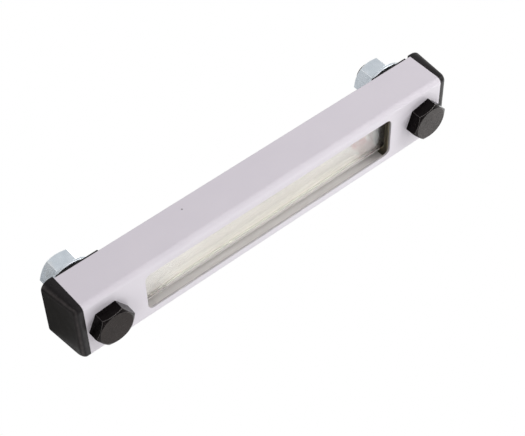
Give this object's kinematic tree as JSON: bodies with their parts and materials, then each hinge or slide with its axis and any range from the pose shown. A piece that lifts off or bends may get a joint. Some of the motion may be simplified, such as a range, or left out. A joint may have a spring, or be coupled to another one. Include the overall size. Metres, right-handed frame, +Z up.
{
  "type": "oil level indicator",
  "caption": "Tank-mounted oil level gauge: clear sight tube in a folded white housing with black end caps, held by hollow bolts and flange nuts.",
  "frame": {"origin": "on the tank wall plane, at the rear faces of the foot seals, midway between the two bolt axes", "axes": "+Z up the gauge along the sight tube, front of the gauge faces -Y, bolts run along +Y into the tank"},
  "size_m": [0.0324, 0.0444, 0.21],
  "materials": {
    "white_paint": "satin",
    "clear_tube": "gloss",
    "white_strip": "matte",
    "fitting_plastic": "satin",
    "cap_plastic": "satin",
    "black_steel": "black oxide",
    "zinc_steel": "bluish zinc plate",
    "seal_rubber": "matte"
  },
  "bodies": {
    "gauge": {"housing": "white_paint", "sight_tube": "clear_tube", "reflector_strip": "white_strip", "upper_fitting": "fitting_plastic", "upper_end_cap": "cap_plastic", "upper_foot_seal": "seal_rubber", "upper_head_ring": "seal_rubber", "upper_tube_ring_1": "seal_rubber", "upper_tube_ring_2": "seal_rubber", "lower_fitting": "fitting_plastic", "lower_end_cap": "cap_plastic", "lower_foot_seal": "seal_rubber", "lower_head_ring": "seal_rubber", "lower_tube_ring_1": "seal_rubber", "lower_tube_ring_2": "seal_rubber"},
    "upper_bolt": {"upper_bolt": "black_steel"},
    "upper_nut": {"upper_nut": "zinc_steel"},
    "lower_bolt": {"lower_bolt": "black_steel"},
    "lower_nut": {"lower_nut": "zinc_steel"}
  },
  "joints": [
    {"name": "upper_bolt_turn", "type": "hinge", "parent": "gauge", "child": "upper_bolt", "pos_m": [0, 0, 0.088], "axis": [0, -1, 0], "range_deg": [0, 2160]},
    {"name": "upper_nut_run", "type": "slide", "parent": "gauge", "child": "upper_nut", "axis": [0, 1, 0], "range_m": [0, 0.0105]},
    {"name": "lower_bolt_turn", "type": "hinge", "parent": "gauge", "child": "lower_bolt", "pos_m": [0, 0, -0.088], "axis": [0, -1, 0], "range_deg": [0, 2160]},
    {"name": "lower_nut_run", "type": "slide", "parent": "gauge", "child": "lower_nut", "axis": [0, 1, 0], "range_m": [0, 0.0105]}
  ],
  "couplings": [
    {"joint": "upper_nut_run", "follows": "upper_bolt_turn", "m_per_rad": 0.00027852},
    {"joint": "lower_nut_run", "follows": "lower_bolt_turn", "m_per_rad": 0.00027852}
  ]
}
